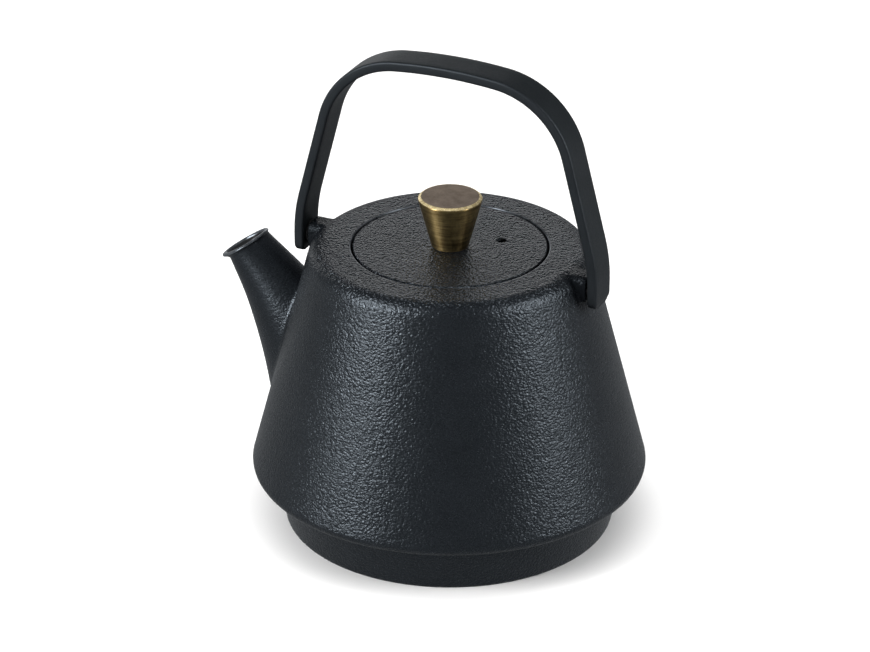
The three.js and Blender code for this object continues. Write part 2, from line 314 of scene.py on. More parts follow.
def unwrap(angle, centre):
    return (angle - centre + math.pi) % (2 * math.pi) - math.pi + centre


def blend_rings(skin, edge, joint, reach, after, centre, steps, round_steps):
    """Rings over a turned skin from a hole's edge (angle, length) to the foot of a fillet, then
    over the fillet, which leaves the skin at `reach` from the joint and ends at `after`."""
    joint_angle = unwrap(np.arctan2(joint[:, 1], joint[:, 0]), centre)
    joint_s = skin.place(joint[:, 2])
    radius = np.hypot(joint[:, 0], joint[:, 1])
    across = (edge[:, 0] - joint_angle) * radius
    along = edge[:, 1] - joint_s
    distance = np.hypot(across, along)
    share = np.minimum(reach, 0.7 * distance) / distance
    foot_angle = joint_angle + (edge[:, 0] - joint_angle) * share
    foot_s = joint_s + along * share
    rings = []
    for q in np.linspace(0, 1, steps + 1)[1:]:
        rings.append(skin.at(edge[:, 0] + (foot_angle - edge[:, 0]) * q,
                             edge[:, 1] + (foot_s - edge[:, 1]) * q))
    foot = rings[-1]
    for q in np.linspace(0, 1, round_steps + 1)[1:]:
        rings.append((1 - q) ** 2 * foot + 2 * q * (1 - q) * joint + q ** 2 * after)
    return rings


# The pot's casting

def cone_r(z, inset=0.0):
    start_r = BELLY_R - BELLY_FILLET + BELLY_FILLET * math.cos(TILT)
    start_z = BELLY_Z + BELLY_FILLET * math.sin(TILT)
    return start_r - (z - start_z) * math.tan(TILT) - inset / math.cos(TILT)


PATCH_LOW, PATCH_HIGH = 25.6, 100.4       # the height of the wall that the spout's root takes
PATCH_STEP = 2.0
CONE_END = 109.6                          # last point of the straight side
SHOULDER_Z = TOP_Z - SHOULDER_FILLET
SHOULDER_R = cone_r(SHOULDER_Z, SHOULDER_FILLET)
MIDDLE_R = 6.0                            # the underside and the floor are capped inside this
MOUTH_EDGE = 0.5
MOUTH_EDGE_STEPS = 4


def pot_profile():
    """The casting's whole outline, from the middle of the underside to the middle of the floor."""
    outside = chain(foot_profile(), cone_profile())
    return chain(outside, seat_profile(), inner_profile()), len(outside)


def foot_profile():
    """The underside and the foot's side, with a groove under the belly."""
    lean = math.degrees(math.atan2(FOOT_TOP_R - FOOT_R, UNDER_BELLY_Z))
    groove = 1.8
    side_start = (FOOT_R + 0.1, FOOT_EDGE + 0.4)
    side_end = (FOOT_TOP_R - 0.25, UNDER_BELLY_Z - groove)
    groove_end = (FOOT_TOP_R + groove, UNDER_BELLY_Z)
    return chain(
        line((MIDDLE_R, 0), (FOOT_R - FOOT_EDGE, 0), 8),
        bend((FOOT_R - FOOT_EDGE, FOOT_EDGE), FOOT_EDGE, -90, -lean, 4),
        line(side_start, side_end, 2),
        soft_corner(side_end, (FOOT_TOP_R, UNDER_BELLY_Z), groove_end, 4),
        line(groove_end, (BELLY_R - BELLY_FILLET, UNDER_BELLY_Z), 1.5),
    )


def cone_profile():
    """The belly's rounding, the straight side, the shoulder and the flat top to the seat."""
    tilt = math.degrees(TILT)
    edge_r = SEAT_R + MOUTH_EDGE
    return chain(
        bend((BELLY_R - BELLY_FILLET, BELLY_Z), BELLY_FILLET, -90, tilt, 10),
        line((cone_r(PATCH_LOW), PATCH_LOW), (cone_r(PATCH_HIGH), PATCH_HIGH), PATCH_STEP),
        line((cone_r(PATCH_HIGH), PATCH_HIGH), (cone_r(CONE_END), CONE_END), 1.4),
        bend((SHOULDER_R, SHOULDER_Z), SHOULDER_FILLET, tilt, 90, 14),
        line((SHOULDER_R, TOP_Z), (edge_r, TOP_Z), 1.6),
        bend((edge_r, TOP_Z - MOUTH_EDGE), MOUTH_EDGE, 90, 180, MOUTH_EDGE_STEPS),
    )


def seat_profile():
    """The lid's seat, and the ledge that carries the infuser."""
    ledge_under = LEDGE_Z - LEDGE_THICK
    edge_r = MOUTH_R + MOUTH_EDGE
    return chain(
        line((SEAT_R, TOP_Z - MOUTH_EDGE), (SEAT_R, LEDGE_Z), 2),
        line((SEAT_R, LEDGE_Z), (edge_r, LEDGE_Z), 1.5),
        bend((edge_r, LEDGE_Z - MOUTH_EDGE), MOUTH_EDGE, 90, 180, 3),
        bend((edge_r, ledge_under + MOUTH_EDGE), MOUTH_EDGE, 180, 270, 3),
        line((edge_r, ledge_under), (SEAT_R + WALL, ledge_under), 3),
    )


def inner_profile():
    """The inside, from the collar round the seat over the ceiling and down the wall to the floor."""
    ceiling = TOP_Z - WALL
    collar_r = SEAT_R + WALL
    collar_round = 3
    ceiling_end = cone_r(ceiling, WALL) - 5
    wall_top = ceiling - 6
    wall_low = BELLY_Z + 2
    belly_floor = (FOOT_TOP_R - 1, UNDER_BELLY_Z + WALL - 0.6)
    foot_top = (FOOT_TOP_R - WALL, UNDER_BELLY_Z - 1)
    foot_r = FOOT_R - WALL
    floor_round = 4
    return chain(
        soft_corner((collar_r, LEDGE_Z - LEDGE_THICK), (collar_r, ceiling),
                    (collar_r + collar_round, ceiling), 4),
        line((collar_r + collar_round, ceiling), (ceiling_end, ceiling), 2),
        soft_corner((ceiling_end, ceiling), (cone_r(ceiling, WALL), ceiling),
                    (cone_r(wall_top, WALL), wall_top), 6),
        line((cone_r(wall_top, WALL), wall_top), (cone_r(PATCH_HIGH, WALL), PATCH_HIGH), 2),
        line((cone_r(PATCH_HIGH, WALL), PATCH_HIGH), (cone_r(PATCH_LOW, WALL), PATCH_LOW),
             PATCH_STEP),
        soft_corner((cone_r(wall_low, WALL), wall_low), (FOOT_TOP_R + 2, UNDER_BELLY_Z + WALL),
                    belly_floor, 6)[1:],
        soft_corner(belly_floor, (FOOT_TOP_R - WALL, UNDER_BELLY_Z + 1.6), foot_top, 5),
        line(foot_top, (foot_r, FLOOR_Z + floor_round), 3),
        soft_corner((foot_r, FLOOR_Z + floor_round), (foot_r, FLOOR_Z),
                    (foot_r - floor_round, FLOOR_Z), 5),
        line((foot_r - floor_round, FLOOR_Z), (MIDDLE_R, FLOOR_Z), 8),
    )


spout_top = smooth_curve(SPOUT_TOP)
spout_under = smooth_curve(SPOUT_UNDER)
spout_width = smooth_curve(SPOUT_HALF_WIDTH)
SPOUT_RUN = 70.0                          # rough length of the spout's middle line


def spout_point(t, angle, inset):
    """A point on the spout at t from mouth (0) to root (1), at an angle round it from its top."""
    high, low = spout_top(t), spout_under(t)
    middle = (high + low) / 2
    half = (high - low) / 2
    height = np.hypot(half[..., 0], half[..., 1])
    up = half / height[..., None]
    flare = np.exp(-(t * SPOUT_RUN / LIP_LENGTH) ** 2)
    outward = LIP_FLARE * np.maximum(0, -np.cos(angle)) ** 2 + LIP_BEAD
    grow = flare * outward - inset
    reach = (height + grow) * np.cos(angle)
    side = (spout_width(t) + grow) * np.sin(angle)
    x = middle[..., 0] + reach * up[..., 0]
    z = middle[..., 1] + reach * up[..., 1]
    return np.stack([x, side, z], axis=-1)


def wall_at(t):
    return LIP_WALL + (SPOUT_WALL - LIP_WALL) * np.minimum(1, t / 0.2)


def meet(skin, angle, inset_at):
    """For each angle, how far along the spout its surface meets a skin, and the lengths there."""
    t = np.linspace(0, 1, 501)[:, None]
    points = spout_point(t + 0 * angle, angle + 0 * t, inset_at(t))
    outside = np.hypot(points[..., 0], points[..., 1]) - skin.radius(points[..., 2])
    crossing = (outside < 0).argmax(axis=0)
    column = np.arange(len(angle))
    a, b = outside[crossing - 1, column], outside[crossing, column]
    t_joint = t[crossing - 1, 0] + (t[1, 0] - t[0, 0]) * a / (a - b)
    run = np.r_[np.zeros((1, len(angle))),
                np.cumsum(np.linalg.norm(np.diff(points, axis=0), axis=2), axis=0)]
    return t_joint, t[:, 0], run


def back_along(t_joint, t, run, reach):
    """The place on each line that lies `reach` nearer the mouth than its joint."""
    out = []
    for j, joint in enumerate(t_joint):
        here = np.interp(joint, t, run[:, j])
        out.append(np.interp(here - reach[j], run[:, j], t))
    return np.array(out)


def spout_side(skin, edge, angle, inset_at, reach, steps):
    """The rings of one side of the spout's wall: over the skin, the fillet and up to the lip."""
    t_joint, t, run = meet(skin, angle, inset_at)
    joint = spout_point(t_joint, angle, inset_at(t_joint))
    t_after = back_along(t_joint, t, run, reach)
    after = spout_point(t_after, angle, inset_at(t_after))
    rings = blend_rings(skin, edge, joint, reach, after, math.pi, steps=10, round_steps=8)
    for q in np.linspace(0, 1, steps + 1)[1:]:
        t_here = t_after * (1 - q) ** 1.25
        rings.append(spout_point(t_here, angle, inset_at(t_here)))
    return rings


def spout_rings(outer, outer_edge, inner, inner_edge):
    """All rings of the spout, from the outer skin over the lip and down the bore."""
    across = np.hypot(*outer.at(outer_edge[:, 0], outer_edge[:, 1])[:, :2].T)
    y = across * np.sin(outer_edge[:, 0])
    s = outer_edge[:, 1]
    centre_s = (s.min() + s.max()) / 2
    angle = np.arctan2(y / np.abs(y).max(), (s - centre_s) / (s.max() - centre_s))
    low_side = ((1 - np.cos(angle)) / 2) ** 2
    fillet = SPOUT_FILLET + SPOUT_FILLET_BELOW * low_side
    bore_fillet = np.full(len(angle), BORE_FILLET)
    outside = spout_side(outer, outer_edge, angle, lambda t: 0 * t, fillet, steps=34)
    inside = spout_side(inner, inner_edge, angle, wall_at, bore_fillet, steps=24)
    lip_out, lip_in = outside[-1], inside[-1]
    middle, half = (lip_out + lip_in) / 2, (lip_out - lip_in) / 2
    across_mouth = np.array([SPOUT_TOP[0][0] - SPOUT_UNDER[0][0], 0,
                             SPOUT_TOP[0][1] - SPOUT_UNDER[0][1]])
    mouthward = np.array([-across_mouth[2], 0, across_mouth[0]]) / np.linalg.norm(across_mouth)
    thick = np.linalg.norm(half, axis=1)[:, None]
    rim = []
    for turn in np.linspace(0, math.pi, 8)[1:-1]:
        rim.append(middle + half * math.cos(turn) + mouthward * thick * math.sin(turn))
    lip_start, lip_end = len(outside) - 1, len(outside) + len(rim) + 1

    # The lip's rim gets the enamel lightened as a painted highlight; the outside is iron and the
    # bore enamel.
    def group(step):
        if lip_start <= step < lip_end:
            return PAINTED_HIGHLIGHT
        return IRON if step < lip_start else ENAMEL

    return outside + rim + inside[::-1], group


def lug_rings(outer, edge, side):
    """The rings of one lug, from the skin out to its end face and into its blind hole."""
    centre = 0 if side > 0 else math.pi
    points = outer.at(edge[:, 0], edge[:, 1])
    s = edge[:, 1]
    pivot_s = outer.place(PIVOT_Z)
    rise = np.where(s > pivot_s, s.max() - pivot_s, pivot_s - s.min())
    angle = np.arctan2(points[:, 1] / np.abs(points[:, 1]).max(), (s - pivot_s) / rise)

    squarish = (np.sin(angle) ** 4 + np.cos(angle) ** 4) ** -0.25

    def around(radius, x):
        y = radius * np.sin(angle)
        z = PIVOT_Z + radius * np.cos(angle)
        return np.stack([side * (x + 0 * y), y, z], axis=-1)

    def boss(radius, x):
        return around(radius * squarish, x)

    flat = boss(LUG_R, 0)
    joint_x = np.sqrt(outer.radius(flat[:, 2]) ** 2 - flat[:, 1] ** 2)
    reach = np.full(len(angle), LUG_FILLET)
    start = joint_x + reach
    rings = blend_rings(outer, edge, boss(LUG_R, joint_x), reach, boss(LUG_R, start), centre,
                        steps=4, round_steps=5)
    edge_x = LUG_END - LUG_EDGE
    for q in np.linspace(0, 1, 4)[1:]:
        rings.append(boss(LUG_R, start + (edge_x - start) * q))
    for turn in np.linspace(0, math.pi / 2, 4)[1:]:
        rings.append(boss(LUG_R - LUG_EDGE * (1 - math.cos(turn)),
                          edge_x + LUG_EDGE * math.sin(turn)))
    for radius, x in ((STUD_HOLE_R + 0.95, LUG_END), (STUD_HOLE_R + 0.2, LUG_END),
                      (STUD_HOLE_R, LUG_END - 0.3), (STUD_HOLE_R, LUG_END - 2.5),
                      (STUD_HOLE_R, STUD_HOLE_END)):
        rings.append(around(radius, x))
    return rings


def edge_places(skin, hole, columns=COLUMNS):
    """The (angle, length) of each point round a hole's edge."""
    steps = np.array(hole.loop())
    return np.c_[steps[:, 1] * 2 * math.pi / columns, skin.length[steps[:, 0]]]


def casting(iron, enamel, edge_highlight):
    shell = Shell()
    profile, outside_rows = pot_profile()
    outside = profile[:outside_rows]
    half_turn = COLUMNS // 2
    low = nearest_row(outside, cone_r(PATCH_LOW), PATCH_LOW)
    high = nearest_row(outside, cone_r(PATCH_HIGH), PATCH_HIGH)
    inner_high = outside_rows + nearest_row(
        profile[outside_rows:], cone_r(PATCH_HIGH, WALL), PATCH_HIGH)
    inner_low = inner_high + high - low
    spout_columns = (half_turn - SPOUT_COLUMNS, half_turn + SPOUT_COLUMNS)
    spout_hole = Hole((low, high), spout_columns)
    bore_hole = Hole((inner_high, inner_low), spout_columns)
    lug_rows = (high, nearest_row(outside, LUG_PATCH_R, TOP_Z))
    lug_holes = [Hole(lug_rows, (middle - LUG_COLUMNS, middle + LUG_COLUMNS))
                 for middle in (0, half_turn)]

    def group(row):
        if row >= outside_rows:
            return ENAMEL
        # The seat's edge gets the enamel lightened as a painted highlight.
        return PAINTED_HIGHLIGHT if row >= outside_rows - MOUTH_EDGE_STEPS - 1 else IRON

    grid = turned_grid(shell, profile, [spout_hole, bore_hole, *lug_holes], group)
    shell.cap(grid[0], (0, 0, 0), IRON)
    shell.cap(grid[-1], (0, 0, FLOOR_Z), ENAMEL)
    outer = Skin(profile, (low - 4, nearest_row(outside, SHOULDER_R, TOP_Z)))
    inner = Skin(profile, (inner_high - 4, inner_low + 1))
    inner_steps = [(inner_low - (i - low), j) for i, j in spout_hole.loop()]
    inner_first = np.array([grid[i, j % COLUMNS] for i, j in inner_steps])
    inner_edge = np.array([(j * 2 * math.pi / COLUMNS, inner.length[i]) for i, j in inner_steps])
    rings, spout_group = spout_rings(outer, edge_places(outer, spout_hole), inner, inner_edge)
    join_rings(shell, hole_edge(grid, spout_hole), rings, inner_first, spout_group)
    for hole, side in zip(lug_holes, (1, -1)):
        last = join_rings(shell, hole_edge(grid, hole),
                          lug_rings(outer, edge_places(outer, hole), side), None)
        shell.cap(last, (side * STUD_HOLE_END, 0, PIVOT_Z))
    shell.object("pot_casting", "pot", [iron, enamel, edge_highlight], "cast_iron",
                 "body", "shoulder", "base", "spout", "lug_front", "lug_rear")


# Lid, knob and their fasteners

STEAM_HOLE_R = 2.0
STEAM_FROM_AXIS, STEAM_ANGLE = 20.4, math.radians(37)
STEAM_AT = (STEAM_FROM_AXIS * math.cos(STEAM_ANGLE), STEAM_FROM_AXIS * math.sin(STEAM_ANGLE))
SCREW_HOLE_R = 2.7
SKIRT_R = 31.4
SKIRT_THICK = 2.0
LID_THICK = 3.3
LID_TOP_EDGE = 0.55
LID_LOW_EDGE = 0.4


def lid_profile(top, under):
    """The lid's whole outline, from the screw hole over the top and back under the skirt."""
    edge_r = LID_R - LID_TOP_EDGE
    low_edge = LID_LOW_EDGE
    skirt_z = LID_LOW.z + low_edge
    skirt_in = SKIRT_R - SKIRT_THICK
    corner = 0.5
    return chain(
        line((SCREW_HOLE_R, top), (edge_r, top), 1.2),
        bend((edge_r, top - LID_TOP_EDGE), LID_TOP_EDGE, 90, 0, 5),
        bend((LID_R - low_edge, under + low_edge), low_edge, 0, -90, 3),
        line((LID_R - low_edge, under), (SKIRT_R + corner, under), 2),
        soft_corner((SKIRT_R + corner, under), (SKIRT_R, under), (SKIRT_R, under - corner), 2),
        line((SKIRT_R, under - corner), (SKIRT_R, skirt_z), 2),
        bend((SKIRT_R - low_edge, skirt_z), low_edge, 0, -90, 3),
        bend((skirt_in + low_edge, skirt_z), low_edge, -90, -180, 3),
        line((skirt_in, skirt_z), (skirt_in, under - corner), 2),
        soft_corner((skirt_in, under - corner), (skirt_in, under), (skirt_in - corner, under), 2),
        line((skirt_in - corner, under), (SCREW_HOLE_R, under), 1.2),
    )


def lid(iron, enamel):
    shell = Shell()
    top = LID_HIGH.z
    under = top - LID_THICK
    profile = lid_profile(top, under)
    iron_rows = nearest_row(profile, LID_R, under + LID_LOW_EDGE) + 1
    reach = 3.8                           # how far round the steam hole its patch of the grid goes
    away = STEAM_FROM_AXIS
    middle = round(STEAM_ANGLE * COLUMNS / (2 * math.pi))
    span = round(reach / away * COLUMNS / (2 * math.pi))
    high_rows = (nearest_row(profile, away - reach, top), nearest_row(profile, away + reach, top))
    low_end = nearest_row(profile, away - reach, under)
    low_rows = (low_end - (high_rows[1] - high_rows[0]), low_end)
    holes = [Hole(rows, (middle - span, middle + span)) for rows in (high_rows, low_rows)]
    grid = turned_grid(shell, profile, holes, closed=True,
                       group=lambda row: IRON if row < iron_rows else ENAMEL)
    steps = holes[0].loop()
    first = hole_edge(grid, holes[0])
    last = np.array([grid[low_rows[1] - (i - high_rows[0]), j % COLUMNS] for i, j in steps])
    places = np.concatenate(shell.blocks)
    start, end = places[first], places[last]
    offset = start[:, :2] - np.array(STEAM_AT)
    angle = np.arctan2(offset[:, 1], offset[:, 0])

    def round_hole(radius, z):
        return np.stack([STEAM_AT[0] + radius * np.cos(angle),
                         STEAM_AT[1] + radius * np.sin(angle), z + 0 * angle], axis=-1)

    soft = 0.3
    mouth = round_hole(STEAM_HOLE_R + soft, top)
    rings = [start + (mouth - start) * q for q in (0.3, 0.6, 0.85, 1)]
    for turn in np.linspace(0, math.pi / 2, 4)[1:]:
        rings.append(round_hole(STEAM_HOLE_R + soft * (1 - math.sin(turn)),
                                top - soft * (1 - math.cos(turn))))
    rings.append(round_hole(STEAM_HOLE_R, (top + under) / 2))
    low_mouth = round_hole(STEAM_HOLE_R, under)
    rings += [low_mouth + (end - low_mouth) * q for q in (0, 0.3, 0.65)]
    join_rings(shell, first, rings, last)
    shell.object("lid_casting", "lid", [iron, enamel], "cast_iron", "lid")


def turned_piece(name, body, profile, materials, slot, node, columns=96, closed=False, caps=(),
                 group=lambda row: 0):
    """A turned solid: a closed ring, or an outline whose two ends are capped on the axis."""
    shell = Shell()
    grid = turned_grid(shell, profile, group=group, closed=closed, columns=columns)
    for row, z in caps:
        shell.cap(grid[row], (0, 0, z), group(len(grid) - 1 if row < 0 else row))
    shell.object(name, body, materials, slot, node)


KNOB_FOOT_R = 7.2
KNOB_BEVEL = 0.85
KNOB_BORE_R = 2.55
KNOB_BORE_TOP = 124.3
SCREW_R = 2.35
SCREW_HEAD_THICK = 2.3
CAP_R = 1.0                               # small turned pieces are capped inside this


def knob(brass, bevel_highlight_brass, top_brass):
    foot, top = KNOB_LOW.z, KNOB_HIGH.z
    top_r = KNOB_HIGH.x
    corner = 0.3
    bevel_z = top - KNOB_BEVEL
    side_low = (KNOB_FOOT_R + 0.08, foot + corner)
    side_high = (top_r - 0.06, bevel_z - corner)
    bevel_low = (top_r - 0.18, bevel_z + 0.2)
    bevel_high = (top_r - KNOB_BEVEL, top - 0.1)
    flat_start = (top_r - KNOB_BEVEL - 0.4, top)
    side = chain(
        line((CAP_R, KNOB_BORE_TOP), (KNOB_BORE_R, KNOB_BORE_TOP), 1),
        line((KNOB_BORE_R, KNOB_BORE_TOP), (KNOB_BORE_R, foot), 2),
        line((KNOB_BORE_R, foot), (KNOB_FOOT_R - corner, foot), 1.5),
        soft_corner((KNOB_FOOT_R - corner, foot), (KNOB_FOOT_R, foot), side_low, 3),
        line(side_low, side_high, 0.6),
        soft_corner(side_high, (top_r, bevel_z), bevel_low, 3),
    )
    bevel = chain(
        line(bevel_low, bevel_high, 0.3),
        soft_corner(bevel_high, (top_r - KNOB_BEVEL - 0.1, top), flat_start, 3),
    )
    profile = chain(side, bevel, line(flat_start, (CAP_R, top), 1))
    # The bevel takes the brass lightened as a painted highlight.
    bevel_start = len(side) - 1
    top_start = bevel_start + len(bevel) - 1
    turned_piece("knob_turned", "lid", profile, [brass, bevel_highlight_brass, top_brass], "brass", "knob",
                 columns=160, caps=((0, KNOB_BORE_TOP), (-1, top)),
                 group=lambda row: int(row >= bevel_start) + int(row >= top_start))


def knob_screw(steel):
    low, high = box_mm("knob_screw")
    head_r = high.x
    head_top = low.z + SCREW_HEAD_THICK
    head_round = 1.2
    socket_r, socket_top = 1.5, low.z + 1.0
    socket_edge = 0.15
    tip = 0.6
    profile = chain(
        line((CAP_R, socket_top), (socket_r, socket_top), 0.5),
        line((socket_r, socket_top), (socket_r, low.z + socket_edge), 0.5),
        line((socket_r + socket_edge, low.z), (head_r - head_round, low.z), 0.6),
        bend((head_r - head_round, low.z + head_round), head_round, -90, 0, 6),
        line((head_r, low.z + head_round), (head_r, head_top), 0.6),
        line((head_r, head_top), (SCREW_R, head_top), 0.8),
        line((SCREW_R, head_top), (SCREW_R, high.z - tip), 1.5),
        line((SCREW_R, high.z - tip), (SCREW_R - tip, high.z), 0.5),
        line((SCREW_R - tip, high.z), (CAP_R, high.z), 0.5),
    )
    turned_piece("knob_screw_steel", "lid", profile, [steel], "steel", "knob_screw",
                 columns=48, caps=((0, socket_top), (-1, high.z)))


def ring_profile(inner, outer, low, high, edge, step=2.0):
    """A rectangle with rounded corners, for rings."""
    return chain(
        bend((outer - edge, low + edge), edge, -90, 0, 3),
        bend((outer - edge, high - edge), edge, 0, 90, 3),
        line((outer - edge, high), (inner + edge, high), step),
        bend((inner + edge, high - edge), edge, 90, 180, 3),
        bend((inner + edge, low + edge), edge, 180, 270, 3),
        line((inner + edge, low), (outer - edge, low), step),
    )[:-1]


def knob_washer(steel):
    low, high = box_mm("knob_washer")
    profile = ring_profile(SCREW_R + 0.25, high.x, low.z, high.z, 0.15)
    turned_piece("knob_washer_steel", "lid", profile, [steel], "steel", "knob_washer",
                 columns=64, closed=True)


# Handle

STRAP_WIDTH = STRAP_HIGH.y - STRAP_LOW.y
STRAP_THICK = 4.0
STRAP_EDGE = 0.9
FOOT_CORNER = 3.2
FOOT_THINNING = 1.0                       # how much thinner the strap is at its very end
HALF_SPAN = STRAP_HIGH.x
BEND_Z, BEND_R = 111.0, 67.0
CORNER_Z, CORNER_R = 163.0, 36.8
CROWN_TILT = math.radians(6)


def arch_path():
    """Points on the strap's outer face from foot to foot, with the inward direction at each."""
    tilt = math.degrees(TILT)
    crown = math.degrees(CROWN_TILT)
    bend_centre = np.array([HALF_SPAN - BEND_R, BEND_Z])
    leg_top = bend_centre + BEND_R * np.array([math.cos(TILT), math.sin(TILT)])
    run = (CORNER_Z - leg_top[1]) / math.cos(TILT)
    corner_start = leg_top + run * np.array([-math.sin(TILT), math.cos(TILT)])
    corner_centre = corner_start - CORNER_R * np.array([math.cos(TILT), math.sin(TILT)])
    crown_start = corner_centre + CORNER_R * np.array([math.sin(CROWN_TILT), math.cos(CROWN_TILT)])
    crown_r = crown_start[0] / math.sin(CROWN_TILT)
    crown_centre = (0, crown_start[1] - crown_r * math.cos(CROWN_TILT))
    ease = FOOT_CORNER * (1 - np.cos(np.radians(np.arange(0, 91, 15))))
    foot = np.c_[np.full(len(ease), HALF_SPAN), STRAP_LOW.z + ease]
    half = chain(
        foot,
        line(foot[-1], (HALF_SPAN, BEND_Z), 1.5),
        bend(bend_centre, BEND_R, 0, tilt, 10),
        line(leg_top, corner_start, 2.5),
        bend(corner_centre, CORNER_R, tilt, 90 - crown, 34),
        bend(crown_centre, crown_r, 90 - crown, 90, 10),
    )
    path = np.concatenate([half, (half * (-1, 1))[-2::-1]])
    along = np.gradient(path, axis=0)
    along /= np.linalg.norm(along, axis=1)[:, None]
    inward = np.c_[-along[:, 1], along[:, 0]]
    return path, inward


def strap_section(half_width, thick, edge):
    """The strap's cross-section as (across, inward), once round."""
    a, b = half_width - edge, thick / 2 - edge
    corners = [bend((a, b), edge, 0, 90, 6), bend((-a, b), edge, 90, 180, 6),
               bend((-a, -b), edge, 180, 270, 6), bend((a, -b), edge, 270, 360, 6)]
    flats = []
    for k, steps in enumerate((6, 2, 6, 2)):
        q = np.linspace(0, 1, steps + 1)[1:-1, None]
        flats.append(corners[k][-1] * (1 - q) + corners[(k + 1) % 4][0] * q)
    round_trip = np.concatenate([part for pair in zip(corners, flats) for part in pair])
    return round_trip + (0, STRAP_THICK / 2)


def handle(coating):
    shell = Shell()
    path, inward = arch_path()
    from_end = np.minimum(path[:, 1] - STRAP_LOW.z, FOOT_CORNER)
    rings = []
    for place, direction, rise in zip(path, inward, from_end):
        short = FOOT_CORNER - rise
        trim = FOOT_CORNER - math.sqrt(max(FOOT_CORNER ** 2 - short ** 2, 0))
        thin = min(trim, FOOT_THINNING)
        section = strap_section(STRAP_WIDTH / 2 - trim, STRAP_THICK - thin, STRAP_EDGE - 0.5 * thin)
        xz = place + section[:, 1:] * direction
        rings.append(shell.add(np.c_[xz[:, 0], section[:, 0], xz[:, 1]]))
    for a, b in zip(rings, rings[1:]):
        shell.band(a, b)
    shell.face(rings[0])
    shell.face(rings[-1][::-1])
    shell.object("handle_strap", "handle", [coating], "strap", "handle")


def along_x(profile, side, name, node, material, slot, columns=48, closed=False, caps=()):
    """A turned piece whose axis is the handle's pivot line; the profile's height is along X."""
    shell = Shell()
    grid = turned_grid(shell, profile, closed=closed, columns=columns)
    for row, x in caps:
        shell.cap(grid[row], (0, 0, x))
    for block in shell.blocks:
        block[:] = np.c_[side * block[:, 2], block[:, 1], PIVOT_Z + block[:, 0]]
    shell.object(name, "handle", [material], slot, node)


STUD_CAP_R = 0.6


def handle_pivots(steel, nylon):
    """At each foot, the stud fixed to the strap and the spacer between strap and lug."""
    for side, place in ((-1, "front"), (1, "rear")):
        low, high = box_mm(f"handle_stud_{place}")
        start, end = sorted((abs(low.x), abs(high.x)))
        radius = high.y
        chamfer = 0.5
        stud = chain(
            line((STUD_CAP_R, start), (radius - chamfer, start), 1),
            line((radius - chamfer, start), (radius, start + chamfer), 1),
            line((radius, start + chamfer), (radius, end), 1),
            line((radius, end), (STUD_CAP_R, end), 1),
        )
        along_x(stud, side, f"stud_{place}", f"handle_stud_{place}", steel, "steel",
                caps=((0, start), (-1, end)))
        low, high = box_mm(f"handle_spacer_{place}")
        start, end = sorted((abs(low.x), abs(high.x)))
        spacer = ring_profile(STUD_HOLE_R, high.y, start, end, 0.2, 1)
        along_x(spacer, side, f"spacer_{place}", f"handle_spacer_{place}", nylon, "nylon",
                closed=True)


# Infuser

SHEET = 0.6
BAND_R = 32.6                             # inside of the solid bands round the mesh
INFUSER_COLUMNS = 144


def infuser_flange(steel):
    """The flange that rests on the ledge, with the neck band below it."""
    low, high = box_mm("infuser_rim")
    band_out = BAND_R + SHEET
    under = high.z - 0.8
    fold = 0.6
    entry = 1.2
    edge = (high.z - under) / 2
    rim = chain(
        line((BAND_R, low.z), (band_out, low.z), 0.3),
        line((band_out, low.z), (band_out, under - fold), 1),
        soft_corner((band_out, under - fold), (band_out, under), (band_out + fold, under), 3),
        line((band_out + fold, under), (high.x - edge, under), 1),
        bend((high.x - edge, under + edge), edge, -90, 90, 8),
        line((high.x - edge, high.z), (BAND_R + entry, high.z), 1),
        soft_corner((BAND_R + entry, high.z), (BAND_R, high.z), (BAND_R, high.z - entry), 5),
        line((BAND_R, high.z - entry), (BAND_R, low.z), 1),
    )[:-1]
    turned_piece("infuser_flange", "infuser", rim, [steel], "steel", "infuser_rim",
                 columns=INFUSER_COLUMNS, closed=True)


def infuser_mesh(mesh_steel):
    """The strainer's wall and floor."""
    low, high = box_mm("infuser_wall")
    wall = ring_profile(high.x - SHEET, high.x, low.z, high.z, 0.12)
    turned_piece("infuser_mesh", "infuser", wall, [mesh_steel], "steel", "infuser_wall",
                 columns=INFUSER_COLUMNS, closed=True)
    low, high = box_mm("infuser_floor")
    edge = 0.1
    floor = chain(
        line((CAP_R, low.z), (high.x - edge, low.z), 3),
        line((high.x, low.z + edge), (high.x, high.z - edge), 1),
        line((high.x - edge, high.z), (CAP_R, high.z), 3),
    )
    turned_piece("infuser_mesh_floor", "infuser", floor, [mesh_steel], "steel", "infuser_floor",
                 columns=INFUSER_COLUMNS, caps=((0, low.z), (-1, high.z)))


def infuser_bottom_ring(steel):
    """The lower band, turned in under the strainer's floor."""
    low, high = box_mm("infuser_ring")
    inner = BAND_R - 4
    step_z = low.z + SHEET
    turn_in = 1
    top_edge = 0.25
    fold = 0.4
    band = chain(
        line((inner, low.z), (high.x - turn_in, low.z), 1),
        bend((high.x - turn_in, low.z + turn_in), turn_in, -90, 0, 5),
        line((high.x, low.z + turn_in), (high.x, high.z - top_edge), 1.5),
        bend((BAND_R + SHEET / 2, high.z - top_edge), SHEET / 2 - 0.02, 0, 180, 5),
        line((BAND_R, high.z - top_edge), (BAND_R, step_z + fold), 1.5),
        soft_corner((BAND_R, step_z + fold), (BAND_R, step_z), (BAND_R - fold, step_z), 3),
        line((BAND_R - fold, step_z), (inner, step_z), 1),
    )
    turned_piece("infuser_bottom_ring", "infuser", band, [steel], "steel", "infuser_ring",
                 columns=INFUSER_COLUMNS, closed=True)


# Materials

COOL_SHEEN = (0.78, 0.89, 1.0, 1.0)       # the bluish cast of light reflected by the black finishes
# Places in metres where the cast iron's finish changes, and round the lugs where painted shade dims
# its reflections
SPOUT_GRAIN_FADE = (-0.076, -0.056)
FLAT_TOP_START = (0.1135, 0.1150)
LUG_SHADE_MIDDLE = (0.059, 0.0, PIVOT_Z * MM)
LUG_SHADE_REACH = (0.007, 0.012)


